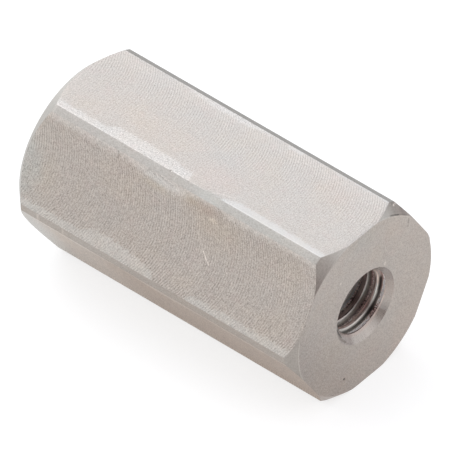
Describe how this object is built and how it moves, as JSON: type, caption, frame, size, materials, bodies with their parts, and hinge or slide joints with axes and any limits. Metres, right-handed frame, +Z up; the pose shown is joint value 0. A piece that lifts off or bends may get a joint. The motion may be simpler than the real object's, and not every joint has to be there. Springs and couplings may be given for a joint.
{
  "type": "coupling nut",
  "caption": "Long hexagonal coupling nut with chamfered ends and a thread tapped right through between countersunk mouths, for joining threaded rods end to end.",
  "frame": {"origin": "on the thread's axis, halfway between the two end faces, which is also the centre of the box around the nut", "axes": "+X along the thread's axis, out of the end with the lighter chamfer; +Z up, square to the flat that faces up; the nut lies on the opposite flat, at z = -0.007"},
  "size_m": [0.027, 0.0158, 0.014],
  "materials": {
    "nut_steel": "bare steel with a satin milled finish: fine cutter arcs on the flats, turning rings on the end faces"
  },
  "bodies": {
    "root": {"coupling_nut": "nut_steel"}
  },
  "joints": []
}
